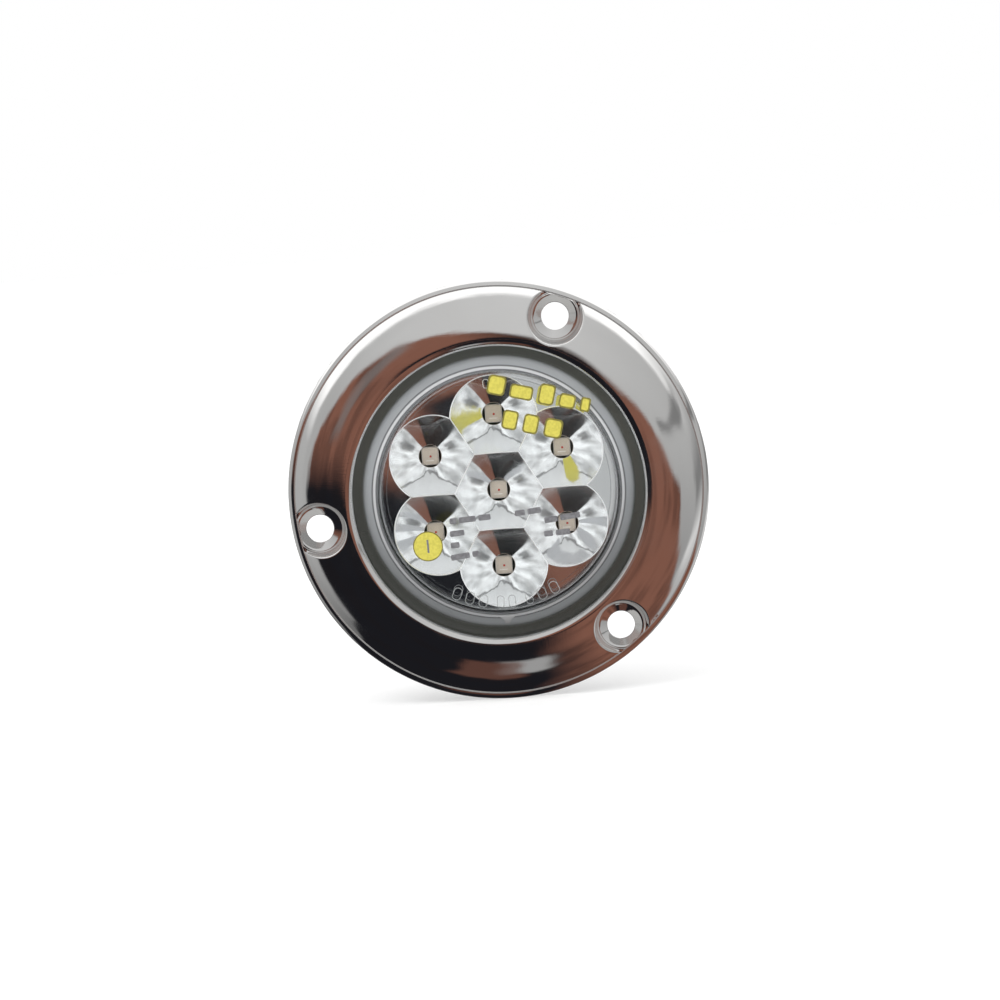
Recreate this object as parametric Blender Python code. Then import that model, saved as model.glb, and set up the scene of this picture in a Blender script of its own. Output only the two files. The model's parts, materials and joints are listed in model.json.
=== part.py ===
"""Round two-inch LED marker lamp in a stamped three-hole stainless flange.

The lamp faces -Y and +Z is up.  The origin is on the lamp's axis, at the middle
of its depth.  Every turned outline below is a list of (radius, height) points,
where height is the distance in front of the flange's back plane, the plane that
lies on the vehicle panel.
"""
import math

import bmesh
import bpy
from mathutils import Vector

MM = 0.001
GAP = 0.3 * MM                    # clearance between separate pieces
THIN_GAP = 0.05 * MM              # clearance under the film and at the lens joint
RING_STEPS = 56                   # facets round the large turned pieces
SMALL_STEPS = 20                  # facets round holes, cups and pins
SHARP_ANGLE = math.radians(32)    # edges steeper than this are drawn sharp
PANEL_Y = -7.8 * MM               # the flange's back plane, where height is 0

# --- flange (bezel) --------------------------------------------------------
FLANGE_R = 38.1 * MM              # three inches over the rim
SHEET = 0.8 * MM                  # stainless sheet thickness
RIM_IN_R = 36.9 * MM              # inner edge of the sloping rim
RIM_TOP = 1.4 * MM
RIM_SHOULDER = 0.5 * MM           # height where the rim's slope turns down
RIM_TURN = 0.15 * MM              # how far inside the edge that happens
RIM_EDGE = 0.12 * MM
DOME_TOP_R = 27.72 * MM
DOME_TOP = 6.97 * MM
DOME_STEEP = math.radians(58)     # slope of the dome beside the rim
DOME_FLAT = math.radians(5.2)     # slope of the dome beside the lip
LIP_R = 26.3 * MM                 # opening that the lens shows through
LIP_FOOT = 2.9 * MM               # lower edge of the rolled lip

# --- screw dimples ---------------------------------------------------------
SCREW_CIRCLE_R = 33.1 * MM
SCREW_CLOCK = math.radians(68.2)
SCREW_COUNT = 3
SCREW_HOLE_R = 2.5 * MM
SCREW_CONE_R = 4.0 * MM
SCREW_CONE_TOP = 1.75 * MM
SCREW_CONE_FOOT = 0.6 * MM
DIMPLE_R = 4.6 * MM
DIMPLE_DRAFT = 0.5 * MM           # how much wider the dimple is at dome height
DIMPLE_FLOOR = 1.2 * MM
SEAT_R = 3.5 * MM                 # flat back face round each screw hole

# --- lens, housing and gasket ----------------------------------------------
LAMP_FLANGE_R = 27.0 * MM
LENS_FLANGE_TOP = LIP_FOOT - GAP
LENS_FLANGE_T = 0.85 * MM
LENS_FOOT_R = 24.7 * MM
LENS_WAIST_R = 24.0 * MM
LENS_WAIST = 3.5 * MM
LENS_FACE_R = 21.5 * MM
LENS_SHOULDER_R = 21.9 * MM
LENS_FACE = 6.2 * MM
LENS_WALL = 1.8 * MM
LENS_CORNER = 0.4 * MM
LENS_BORE_R = 22.0 * MM
GATE_W = 3.6 * MM                 # moulding gate left on the sloping drum of the lens
GATE_TOP_R = 22.3 * MM
GATE_FOOT_R = 24.0 * MM
GATE_PROUD = 0.25 * MM
FILM_R = 21.3 * MM
FILM_T = 0.15 * MM
BARREL_R = 24.3 * MM              # passes a two-inch panel hole
BARREL_END_R = 24.0 * MM
HOUSING_FLANGE_T = 0.75 * MM
BOARD_POCKET_R = 22.6 * MM
LOWER_POCKET_R = 21.4 * MM
FLOOR_IN = -12.2 * MM
FLOOR_OUT = -14.0 * MM
GASKET_IN_R = BARREL_R + GAP
GASKET_OUT_R = 27.3 * MM

# --- reflector -------------------------------------------------------------
REFLECTOR_R = LENS_BORE_R - GAP
REFLECTOR_FACE = 3.2 * MM
REFLECTOR_PLATE_T = 1.0 * MM
SKIRT_T = 0.8 * MM
LED_PITCH = 13.8 * MM
CUP_R = 7.6 * MM
CUP_DEPTH = 3.4 * MM
CUP_WALL = 0.7 * MM
APERTURE_R = 2.1 * MM
NECK = 0.4 * MM
CUP_RINGS = 3

# --- light emitters and circuit board --------------------------------------
LED_W = 3.1 * MM
LED_H = 3.3 * MM
LED_T = 1.9 * MM
LED_WELL_R = 1.2 * MM
LED_WELL_D = 0.5 * MM
LED_TOP = REFLECTOR_FACE - CUP_DEPTH - NECK - 0.15 * MM
BOARD_R = 22.3 * MM
BOARD_T = 1.6 * MM
BOARD_FACE = LED_TOP - LED_T - THIN_GAP
BOARD_BACK = BOARD_FACE - BOARD_T

# --- connector -------------------------------------------------------------
PIN_X = 4.75 * MM                 # half the distance between the pins
PIN_R = 2.0 * MM
PIN_TAIL_R = 0.7 * MM
PIN_COLLAR_R = 2.9 * MM
PIN_COLLAR_T = 0.8 * MM
PIN_TIP = -20.5 * MM
BOSS_R = 5.6 * MM                 # end radius of the oblong connector boss
SOCKET_R = 4.0 * MM               # end radius of the oblong socket in it
BOSS_END = -22.5 * MM
SOCKET_FLOOR = -14.4 * MM
SEAL_T = 1.7 * MM


# ---------------------------------------------------------------------------
# shape helpers
# ---------------------------------------------------------------------------
def arc(centre, radius, start, end, steps):
    """Points on an arc; the angle runs from +radius towards +height."""
    points = []
    for i in range(steps + 1):
        a = start + (end - start) * i / steps
        points.append((centre[0] + radius * math.cos(a), centre[1] + radius * math.sin(a)))
    return points


def polar(radius, angle):
    """A point of the lamp's face as (x, z)."""
    return radius * math.cos(angle), radius * math.sin(angle)


def at_height(height):
    """The y coordinate of a height above the panel plane."""
    return PANEL_Y - height


def finish_mesh(name, bm, material):
    """Turn a closed bmesh into a named, smooth-shaded object."""
    bmesh.ops.recalc_face_normals(bm, faces=bm.faces)
    mesh = bpy.data.meshes.new(name)
    bm.to_mesh(mesh)
    bm.free()
    mesh.shade_smooth()
    mesh.set_sharp_from_angle(angle=SHARP_ANGLE)
    obj = bpy.data.objects.new(name, mesh)
    bpy.context.collection.objects.link(obj)
    if material is not None:
        mesh.materials.append(material)
    return obj


def turned(name, outline, material=None, steps=RING_STEPS, centre=(0.0, 0.0)):
    """Revolve a closed (radius, height) outline about the front-to-back axis.

    A point on the axis stands for a flat cap at its neighbour's height.
    """
    bm = bmesh.new()
    rings = []
    for radius, height in outline:
        ring = []
        for i in range(steps if radius > 0 else 0):
            x, z = polar(radius, 2 * math.pi * i / steps)
            ring.append(bm.verts.new((centre[0] + x, at_height(height), centre[1] + z)))
        rings.append(ring)
    for a, b in zip(rings, rings[1:] + rings[:1]):
        if a and b:
            for i in range(steps):
                j = (i + 1) % steps
                bm.faces.new((a[i], a[j], b[j], b[i]))
        elif a or b:
            bm.faces.new(a or b)
    return finish_mesh(name, bm, material)


def prism(name, corners, top, foot, material=None):
    """Extrude a flat (x, z) outline between two heights."""
    bm = bmesh.new()
    front = [bm.verts.new((x, at_height(top), z)) for x, z in corners]
    back = [bm.verts.new((x, at_height(foot), z)) for x, z in corners]
    bm.faces.new(front)
    bm.faces.new(list(reversed(back)))
    for i in range(len(corners)):
        j = (i + 1) % len(corners)
        bm.faces.new((front[i], front[j], back[j], back[i]))
    return finish_mesh(name, bm, material)


def oblong(half_length, radius, steps=SMALL_STEPS // 2):
    """A stadium outline along x: two straight sides and two round ends."""
    right = arc((half_length, 0.0), radius, -math.pi / 2, math.pi / 2, steps)
    left = arc((-half_length, 0.0), radius, math.pi / 2, 3 * math.pi / 2, steps)
    return right + left


def boolean(target, tool, operation):
    """Combine tool with target and keep tool only as a wire guide."""
    modifier = target.modifiers.new(tool.name, "BOOLEAN")
    modifier.operation = operation
    modifier.solver = "EXACT"
    modifier.object = tool
    tool.hide_render = True
    tool.display_type = "WIRE"


def bevel(obj, width):
    """Break an object's sharp edges with a narrow flat."""
    modifier = obj.modifiers.new("edges", "BEVEL")
    modifier.width = width
    modifier.segments = 1
    modifier.limit_method = "ANGLE"


def block(name, size, centre, material, edge):
    """A box with broken edges; size and centre are (x, height, z)."""
    bm = bmesh.new()
    bmesh.ops.create_cube(bm, size=1.0)
    bmesh.ops.scale(bm, vec=Vector(size), verts=bm.verts)
    obj = finish_mesh(name, bm, material)
    obj.location = (centre[0], at_height(centre[1]), centre[2])
    bevel(obj, edge)
    return obj


def paint(name, colour, roughness, metallic=0.0, alpha=1.0):
    """A plain Principled material."""
    material = bpy.data.materials.new(name)
    material.use_nodes = True
    shader = material.node_tree.nodes["Principled BSDF"]
    shader.inputs["Base Color"].default_value = (*colour, 1.0)
    shader.inputs["Roughness"].default_value = roughness
    shader.inputs["Metallic"].default_value = metallic
    shader.inputs["Alpha"].default_value = alpha
    return material


# ---------------------------------------------------------------------------
# the flange
# ---------------------------------------------------------------------------
def dome_centre_and_radius():
    """Centre and radius of the arc that crowns the flange from rim to lip."""
    half_turn = (DOME_STEEP - DOME_FLAT) / 2
    run, rise = RIM_IN_R - DOME_TOP_R, DOME_TOP - RIM_TOP
    radius = math.hypot(run, rise) / 2 / math.sin(half_turn)
    centre = (
        DOME_TOP_R - radius * math.sin(DOME_FLAT),
        DOME_TOP - radius * math.cos(DOME_FLAT),
    )
    return centre, radius


def lip_centre_and_radius():
    """Centre and radius of the roll that turns the dome into the lip."""
    radius = (DOME_TOP_R - LIP_R) / (1 + math.sin(DOME_FLAT))
    return (LIP_R + radius, DOME_TOP - radius * math.cos(DOME_FLAT)), radius


def crown(offset, dome_steps, lip_steps):
    """The sheet's front line from rim to lip, moved inwards by offset."""
    up = math.pi / 2
    centre, radius = dome_centre_and_radius()
    dome = arc(centre, radius - offset, up - DOME_STEEP, up - DOME_FLAT, dome_steps)
    centre, radius = lip_centre_and_radius()
    lip = arc(centre, radius - offset, up - DOME_FLAT, math.pi, lip_steps)
    return dome + lip[1:]


def dome_outline():
    """The flange as if it were solid from its front face to the panel."""
    rim = [
        (FLANGE_R, 0.0),
        (FLANGE_R, RIM_EDGE),
        (FLANGE_R - RIM_TURN, RIM_SHOULDER),
        (RIM_IN_R + RIM_TURN, RIM_TOP),
    ]
    return rim + crown(0.0, 7, 5) + [(LIP_R, 0.0)]


def hollow_outline():
    """The space behind the sheet, open to the panel side and to the lip."""
    below = -2 * MM
    inside = LIP_R - MM
    inner = crown(SHEET, 5, 4)
    return [(inner[0][0], below)] + inner + [
        (LIP_R + SHEET, LIP_FOOT),
        (inside, LIP_FOOT),
        (inside, below),
    ]


def screw_centres():
    for i in range(SCREW_COUNT):
        yield polar(SCREW_CIRCLE_R, SCREW_CLOCK + 2 * math.pi * i / SCREW_COUNT)


def make_bezel(steel):
    bezel = turned("bezel", dome_outline(), steel)
    hollow = turned("bezel_hollow", hollow_outline())
    above = DOME_TOP + 2 * MM
    below = -MM
    guard_r = RIM_IN_R - 0.1 * MM
    rim_guard = turned(
        "rim_guard",
        [(guard_r, above), (guard_r, 2 * below), (0.0, 2 * below), (0.0, above)],
    )
    cup = [
        (0.0, above),
        (DIMPLE_R + DIMPLE_DRAFT + SHEET, above),
        (DIMPLE_R + SHEET, DIMPLE_FLOOR),
        (SEAT_R, 0.0),
        (SEAT_R, 2 * below),
        (0.0, 2 * below),
    ]
    recess = [
        (0.0, above),
        (DIMPLE_R + DIMPLE_DRAFT, above),
        (DIMPLE_R, DIMPLE_FLOOR + 0.3 * MM),
        (DIMPLE_R - 0.3 * MM, DIMPLE_FLOOR),
        (SCREW_CONE_R + 0.1 * MM, DIMPLE_FLOOR),
        (SCREW_CONE_R, SCREW_CONE_TOP - 0.1 * MM),
        (SCREW_HOLE_R, SCREW_CONE_FOOT),
        (SCREW_HOLE_R, below),
        (0.0, below),
    ]
    for number, centre in enumerate(screw_centres(), start=1):
        outside = turned(f"dimple_{number}_outside", cup, steps=SMALL_STEPS, centre=centre)
        boolean(hollow, outside, "DIFFERENCE")
        inside = turned(f"dimple_{number}_inside", recess, steps=SMALL_STEPS, centre=centre)
        boolean(inside, rim_guard, "INTERSECT")
        boolean(bezel, inside, "DIFFERENCE")
    boolean(bezel, hollow, "DIFFERENCE")
    return bezel


# ---------------------------------------------------------------------------
# gasket, lens, film and housing
# ---------------------------------------------------------------------------
def make_gasket(rubber):
    top = LENS_FLANGE_TOP - LENS_FLANGE_T - THIN_GAP - HOUSING_FLANGE_T - THIN_GAP
    outline = [
        (GASKET_OUT_R, 0.0),
        (GASKET_OUT_R, top),
        (GASKET_IN_R, top),
        (GASKET_IN_R, 0.0),
    ]
    return turned("gasket", outline, rubber)


def make_lens(clear):
    back = LENS_FLANGE_TOP - LENS_FLANGE_T
    inner = LENS_FACE - LENS_WALL
    shoulder = LENS_FACE - LENS_CORNER
    outline = [
        (0.0, LENS_FACE),
        (LENS_FACE_R, LENS_FACE),
        (LENS_SHOULDER_R - 0.1 * MM, LENS_FACE - 0.12 * MM),
        (LENS_SHOULDER_R, shoulder),
        (LENS_WAIST_R, LENS_WAIST),
        ((LENS_WAIST_R + LENS_FOOT_R) / 2 - 0.1 * MM, LENS_WAIST - 0.6 * MM),
        (LENS_FOOT_R, LENS_FLANGE_TOP),
        (LAMP_FLANGE_R, LENS_FLANGE_TOP),
        (LAMP_FLANGE_R, back),
        (LENS_BORE_R, back),
        (LENS_BORE_R, inner - LENS_CORNER),
        (LENS_BORE_R - LENS_CORNER, inner),
        (0.0, inner),
    ]
    lens = turned("lens", outline, clear)
    slope = (shoulder - LENS_WAIST) / (LENS_WAIST_R - LENS_SHOULDER_R)
    gate_top = shoulder - (GATE_TOP_R - LENS_SHOULDER_R) * slope + GATE_PROUD
    gate = prism(
        "lens_gate",
        [
            (-GATE_W / 2, -GATE_TOP_R),
            (-GATE_W / 6, -GATE_FOOT_R),
            (GATE_W / 6, -GATE_FOOT_R),
            (GATE_W / 2, -GATE_TOP_R),
        ],
        gate_top,
        gate_top - 3 * GATE_PROUD,
    )
    for vertex in gate.data.vertices:
        vertex.co.y += (-vertex.co.z - GATE_TOP_R) * slope
    boolean(lens, gate, "UNION")
    return lens


def make_film(film_plastic):
    foot = LENS_FACE + THIN_GAP
    outline = [(0.0, foot + FILM_T), (FILM_R, foot + FILM_T), (FILM_R, foot), (0.0, foot)]
    return turned("protective_film", outline, film_plastic)


def make_housing(plastic):
    front = LENS_FLANGE_TOP - LENS_FLANGE_T - THIN_GAP
    ledge = BOARD_BACK - GAP
    outline = [
        (BOARD_POCKET_R, front),
        (LAMP_FLANGE_R, front),
        (LAMP_FLANGE_R, front - HOUSING_FLANGE_T),
        (BARREL_R, front - HOUSING_FLANGE_T),
        (BARREL_END_R, FLOOR_OUT + 0.9 * MM),
        (BARREL_END_R - 0.9 * MM, FLOOR_OUT),
        (0.0, FLOOR_OUT),
        (0.0, FLOOR_IN),
        (LOWER_POCKET_R, FLOOR_IN),
        (LOWER_POCKET_R, ledge),
        (BOARD_POCKET_R, ledge),
    ]
    housing = turned("housing", outline, plastic)
    boss = prism("housing_boss", oblong(PIN_X, BOSS_R), FLOOR_OUT + MM, BOSS_END)
    socket = prism("housing_socket", oblong(PIN_X, SOCKET_R), SOCKET_FLOOR, BOSS_END - MM)
    key = prism(
        "housing_key",
        [
            (-1.2 * MM, SOCKET_R - MM),
            (1.2 * MM, SOCKET_R - MM),
            (1.2 * MM, BOSS_R + MM),
            (-1.2 * MM, BOSS_R + MM),
        ],
        SOCKET_FLOOR - 2 * MM,
        BOSS_END - MM,
    )
    boolean(housing, boss, "UNION")
    boolean(housing, socket, "DIFFERENCE")
    boolean(housing, key, "DIFFERENCE")
    drill_pin_holes(housing, "housing", PIN_R + GAP, FLOOR_IN + MM, SOCKET_FLOOR - MM)
    return housing


def drill_pin_holes(target, prefix, radius, top, foot):
    """Two round holes where the contact pins pass."""
    outline = [(0.0, top), (radius, top), (radius, foot), (0.0, foot)]
    for side, x in (("left", -PIN_X), ("right", PIN_X)):
        drill = turned(f"{prefix}_hole_{side}", outline, steps=SMALL_STEPS, centre=(x, 0.0))
        boolean(target, drill, "DIFFERENCE")


# ---------------------------------------------------------------------------
# reflector, light emitters and board
# ---------------------------------------------------------------------------
def cup_centres():
    """The middle cup, then the six around it, the first straight above."""
    yield 0.0, 0.0
    for i in range(6):
        yield polar(LED_PITCH, math.pi / 2 + i * math.pi / 3)


def cup_height(radius):
    """Height of the paraboloid cup surface above its aperture plane."""
    return CUP_DEPTH * (radius**2 - APERTURE_R**2) / (CUP_R**2 - APERTURE_R**2)


def make_reflector(mirror):
    face = REFLECTOR_FACE
    plate_back = face - REFLECTOR_PLATE_T
    skirt_foot = BOARD_FACE + GAP
    throat = face - CUP_DEPTH
    reflector = turned(
        "reflector",
        [
            (0.0, face),
            (REFLECTOR_R, face),
            (REFLECTOR_R, skirt_foot),
            (REFLECTOR_R - SKIRT_T, skirt_foot),
            (REFLECTOR_R - SKIRT_T, plate_back),
            (0.0, plate_back),
        ],
        mirror,
    )
    shell_top = plate_back + REFLECTOR_PLATE_T / 3
    middle_r = (CUP_R + APERTURE_R) / 2
    shell = [
        (0.0, shell_top),
        (CUP_R + 0.1 * MM, shell_top),
        (middle_r + CUP_WALL, throat + cup_height(middle_r) - CUP_WALL / 2),
        (APERTURE_R + CUP_WALL, throat - NECK),
        (0.0, throat - NECK),
    ]
    bowl = [(0.0, face + 2 * MM), (CUP_R + 0.01 * MM, face + 2 * MM)]
    for i in range(CUP_RINGS + 1):
        radius = CUP_R + (APERTURE_R - CUP_R) * i / CUP_RINGS
        bowl.append((radius, throat + cup_height(radius)))
    bowl += [(APERTURE_R, throat - NECK - MM), (0.0, throat - NECK - MM)]
    bowls = []
    for number, centre in enumerate(cup_centres(), start=1):
        outside = turned(f"cup_{number}_outside", shell, steps=SMALL_STEPS, centre=centre)
        boolean(reflector, outside, "UNION")
        bowls.append(turned(f"cup_{number}_inside", bowl, steps=SMALL_STEPS, centre=centre))
    for tool in bowls:
        boolean(reflector, tool, "DIFFERENCE")
    return reflector


def make_led(number, centre, tan):
    """A surface-mount package with a round well in its front face."""
    name = f"led_{number}"
    middle = LED_TOP - LED_T / 2
    size = (LED_W, LED_T, LED_H)
    led = block(name, size, (centre[0], middle, centre[1]), tan, 0.12 * MM)
    above = LED_TOP + MM
    floor = LED_TOP - LED_WELL_D
    outline = [(0.0, above), (LED_WELL_R, above), (LED_WELL_R, floor), (0.0, floor)]
    well = turned(f"{name}_well", outline, steps=12, centre=centre)
    boolean(led, well, "DIFFERENCE")
    return led


def make_board(laminate):
    outline = [
        (0.0, BOARD_FACE),
        (BOARD_R, BOARD_FACE),
        (BOARD_R, BOARD_BACK),
        (0.0, BOARD_BACK),
    ]
    board = turned("circuit_board", outline, laminate)
    top, foot = BOARD_FACE + MM, BOARD_BACK - MM
    drill_pin_holes(board, "board", PIN_TAIL_R + GAP, top, foot)
    return board


def make_board_parts(resistor_black, diode_black, ceramic_brown):
    """The surface-mount parts on the back of the board."""
    rows = [
        ("resistor_1", (3.2, 0.6, 1.6), (-9.0, 8.0), resistor_black),
        ("resistor_2", (3.2, 0.6, 1.6), (0.0, 10.5), resistor_black),
        ("resistor_3", (3.2, 0.6, 1.6), (9.0, 8.0), resistor_black),
        ("reverse_polarity_diode", (4.3, 2.1, 2.6), (-7.0, -9.0), diode_black),
        ("surge_suppressor", (4.6, 2.2, 3.6), (7.0, -9.0), diode_black),
        ("filter_capacitor", (2.0, 1.2, 1.25), (0.0, -10.5), ceramic_brown),
    ]
    parts = []
    for name, size, place, material in rows:
        width, height, depth = (value * MM for value in size)
        middle = BOARD_BACK - THIN_GAP - height / 2
        centre = (place[0] * MM, middle, place[1] * MM)
        parts.append(block(name, (width, height, depth), centre, material, 0.1 * MM))
    return parts


# ---------------------------------------------------------------------------
# connector
# ---------------------------------------------------------------------------
def make_pin(side, x, brass):
    """A round contact pin with a soldered tail and a collar behind the board."""
    collar_foot = FLOOR_IN + GAP + SEAL_T + GAP
    collar_top = collar_foot + PIN_COLLAR_T
    tip_r = 0.6 * PIN_R
    outline = [
        (0.0, BOARD_FACE + GAP),
        (PIN_TAIL_R, BOARD_FACE + GAP),
        (PIN_TAIL_R, collar_top),
        (PIN_COLLAR_R, collar_top),
        (PIN_COLLAR_R, collar_foot),
        (PIN_R, collar_foot),
        (PIN_R, PIN_TIP + 1.6 * MM),
        (0.9 * PIN_R, PIN_TIP + 0.7 * MM),
        (tip_r, PIN_TIP),
        (0.0, PIN_TIP),
    ]
    pin = turned(f"contact_pin_{side}", outline, brass, steps=SMALL_STEPS)
    pin.location = (x, 0.0, 0.0)
    return pin


def make_seal(resin):
    foot = FLOOR_IN + GAP
    top = foot + SEAL_T
    radius = LOWER_POCKET_R - GAP
    seal = turned("pin_seal", [(0.0, top), (radius, top), (radius, foot), (0.0, foot)], resin)
    drill_pin_holes(seal, "seal", PIN_R + GAP, top + MM, foot - MM)
    return seal


# ---------------------------------------------------------------------------
# the whole lamp
# ---------------------------------------------------------------------------
def axis_empty(name, parent=None):
    """An empty on the lamp's front-to-back axis that a moving group hangs on."""
    empty = bpy.data.objects.new(name, None)
    empty.empty_display_size = 5 * MM
    bpy.context.collection.objects.link(empty)
    empty.parent = parent
    return empty


def main():
    for obj in list(bpy.data.objects):
        bpy.data.objects.remove(obj, do_unlink=True)

    steel = paint("polished_stainless", (0.72, 0.71, 0.70), 0.12, 1.0)
    rubber = paint("gasket_rubber", (0.03, 0.03, 0.032), 0.8)
    clear = paint("clear_polycarbonate", (0.92, 0.94, 0.95), 0.05, alpha=0.3)
    film_plastic = paint("printed_film", (0.9, 0.92, 0.9), 0.25, alpha=0.2)
    plastic = paint("black_housing", (0.02, 0.02, 0.022), 0.5)
    mirror = paint("metallised_reflector", (0.86, 0.86, 0.87), 0.06, 1.0)
    led_tan = paint("led_package", (0.52, 0.43, 0.36), 0.4)
    laminate = paint("board_laminate", (0.05, 0.16, 0.08), 0.45)
    resistor_black = paint("resistor_body", (0.03, 0.03, 0.035), 0.4)
    diode_black = paint("diode_body", (0.02, 0.02, 0.02), 0.55)
    capacitor_brown = paint("capacitor_body", (0.32, 0.22, 0.13), 0.5)
    brass = paint("contact_brass", (0.72, 0.55, 0.26), 0.25, 1.0)
    resin = paint("potting_resin", (0.06, 0.055, 0.05), 0.35)

    make_bezel(steel)
    gasket_axis = axis_empty("gasket_axis")
    lamp_axis = axis_empty("lamp_axis", gasket_axis)
    film_axis = axis_empty("film_axis", lamp_axis)

    make_gasket(rubber).parent = gasket_axis
    lamp = [
        make_lens(clear),
        make_housing(plastic),
        make_reflector(mirror),
        make_board(laminate),
        make_seal(resin),
        make_pin("left", -PIN_X, brass),
        make_pin("right", PIN_X, brass),
    ]
    for number, centre in enumerate(cup_centres(), start=1):
        lamp.append(make_led(number, centre, led_tan))
    lamp += make_board_parts(resistor_black, diode_black, capacitor_brown)
    for piece in lamp:
        piece.parent = lamp_axis
    make_film(film_plastic).parent = film_axis


main()
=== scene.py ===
"""The looks of a round LED marker lamp in a polished three-hole flange.

Lengths in outlines are millimetres.  An outline is a list of (radius, height)
points; height is measured forwards from the flange's back plane.
"""

import json
import math

import bmesh
import bpy
from mathutils import Matrix, Vector
from mathutils.geometry import delaunay_2d_cdt


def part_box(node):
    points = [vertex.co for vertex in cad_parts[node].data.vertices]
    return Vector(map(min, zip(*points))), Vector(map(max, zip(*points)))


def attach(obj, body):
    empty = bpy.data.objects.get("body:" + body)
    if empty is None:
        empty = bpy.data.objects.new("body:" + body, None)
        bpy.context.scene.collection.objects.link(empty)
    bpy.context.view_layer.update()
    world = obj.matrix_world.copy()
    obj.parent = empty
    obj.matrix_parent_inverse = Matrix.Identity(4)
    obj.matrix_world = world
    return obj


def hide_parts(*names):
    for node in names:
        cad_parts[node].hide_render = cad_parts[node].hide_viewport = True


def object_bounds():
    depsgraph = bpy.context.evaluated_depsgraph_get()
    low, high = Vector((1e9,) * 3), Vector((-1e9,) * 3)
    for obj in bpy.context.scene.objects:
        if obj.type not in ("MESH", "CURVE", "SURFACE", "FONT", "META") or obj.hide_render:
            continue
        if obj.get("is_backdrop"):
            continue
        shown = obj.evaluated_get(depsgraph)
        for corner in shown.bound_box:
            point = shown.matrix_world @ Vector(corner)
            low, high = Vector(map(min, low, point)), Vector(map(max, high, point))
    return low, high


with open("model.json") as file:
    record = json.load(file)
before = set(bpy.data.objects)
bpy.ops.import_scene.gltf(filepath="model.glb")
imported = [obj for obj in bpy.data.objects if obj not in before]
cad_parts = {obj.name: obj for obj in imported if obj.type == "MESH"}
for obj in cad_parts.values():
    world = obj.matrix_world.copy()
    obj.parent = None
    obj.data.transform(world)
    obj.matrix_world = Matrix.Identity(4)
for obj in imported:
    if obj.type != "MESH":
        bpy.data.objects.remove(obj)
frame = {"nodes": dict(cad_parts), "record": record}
cad_low, cad_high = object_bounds()

MM = 0.001
PANEL_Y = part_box("bezel")[1].y
FLANGE_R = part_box("bezel")[1].x / MM

# facets and shading
ROUND_STEPS = 160                 # facets round a turned piece
SHARP_DEGREES = 38                # edges steeper than this are drawn sharp
FLANGE_SHARP_DEGREES = 40
CUT_SHARP_DEGREES = 30
ON_AXIS = 1e-6                    # a smaller radius counts as lying on the axis

# flange sheet
RIM_R = 36.9                      # where the crown ends and the rim's slope begins
RIM_START, RIM_WIDTH = 37.03, 1.07
DOME_C, DOME_RAD = (26.62, -5.06), 12.08
ROLL_C, ROLL_RAD = (27.6, 5.675), 1.3
ROLL_END = 27.72                  # where the rolled lip turns into the dome
SHEET = 0.8
CROWN_R = 27.7                    # inner edge of the meshed crown
HOLLOW_R = 36.19                  # where the hollow behind the sheet ends
LIP_R = 26.3
LIP_FOOT = 2.9

# screw dimples; D is a distance from the screw's axis
SCREW_R = 33.1
SCREWS = []
for mount in frame["record"]["mounts"]:
    if mount["name"].startswith("screw_seat"):
        centre = Vector((mount["pos_m"][0], mount["pos_m"][2])).normalized() * SCREW_R
        SCREWS.append((centre.x, centre.y))
HOLE_R = 2.5
CREST_D, CREST_H, CREST_SOFT = 3.95, 1.75, 0.3
HOLE_H, CONE_SLOPE = 0.6, 0.73
GROOVE_D, GROOVE_H = 4.5, 1.25
WALL_D = 4.95
BLEND = 0.4                       # how far the wall rounds over into the dome
BACK_D, BACK_WALL_D = 4.6, 5.25
SEAT_D, SEAT_RISE = 3.3, 0.75     # flat seat behind the dimple, and its edge's height

# how finely the flange is meshed
FLANGE_STEPS = 300
HOLE_STEPS = 112
RING_GAP = 0.3
PLAIN_D = 6.0                     # from here outwards the sheet has plain rings
EDGE_MARGIN = 0.03                # no sample lies closer to the crown's two edges
RIM_EXTRA, RIM_EXTRA_STEP = 60, 0.0028   # extra rim points beside each dimple
LEAST_STEP = 0.0012

# reflector
APERTURE_R = 2.1
THROAT = -0.2
PLATE_R = 21.7
PLATE_TOP, PLATE_FLAT_R = 3.3, 13.5
PLATE_BACK = -0.6
SKIRT_T, SKIRT_FOOT = 0.8, -2.4
BOWL_R, BOWL_TOP, BOWL_FOOT = 8.9, 7.0, -1.4
CUP_REACH = 9.0                   # no cup's rim lies farther out than this
RIDGE_R = 0.1

# lens and film
LENS_FACE, LENS_INNER = 6.2, 4.4
LENS_FOOT, LENS_BACK = 2.6, 1.78
LENS_BORE_R, LAMP_FLANGE_R = 22.0, 27.0
SHADE_R = 28.0                    # radius at which the lens's colour stops end
GATE_R, GATE_SLOPE = 22.3, 1.1
PILL_HEIGHT, PILL_LINE_R = 4.36, 0.07
FILM_R, FILM_T, FILM_GAP = 21.3, 0.12, 0.05
PRINT_TURN = -15                  # degrees; the large blocks' rows slope down
LARGE_BLOCK = 3.6                 # height of the tallest block
PRINT_CORNER = 0.24               # corner radius as a share of a block's short side

# housing and gasket
BARREL_R, BARREL_END_R = 24.3, 24.0
FLOOR_OUT, FLOOR_IN = -14.0, -12.2
BOSS_R, BOSS_END = 5.6, -22.5
SOCKET_R, SOCKET_FLOOR = 4.0, -14.4
TOOL_END = -23.5                  # cutting tools reach past the boss's end
GASKET_IN_R, GASKET_OUT_R, GASKET_T = 24.6, 27.3, 0.9

# camera
ELEVATION = math.radians(5)
ROLL = math.radians(4)
DISTANCE = 0.754


def clamp01(value):
    return min(1.0, max(0.0, value))


def at(x, height, z):
    """A point from millimetres: x, height in front of the panel, z."""
    return Vector((x * MM, PANEL_Y - height * MM, z * MM))


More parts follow.
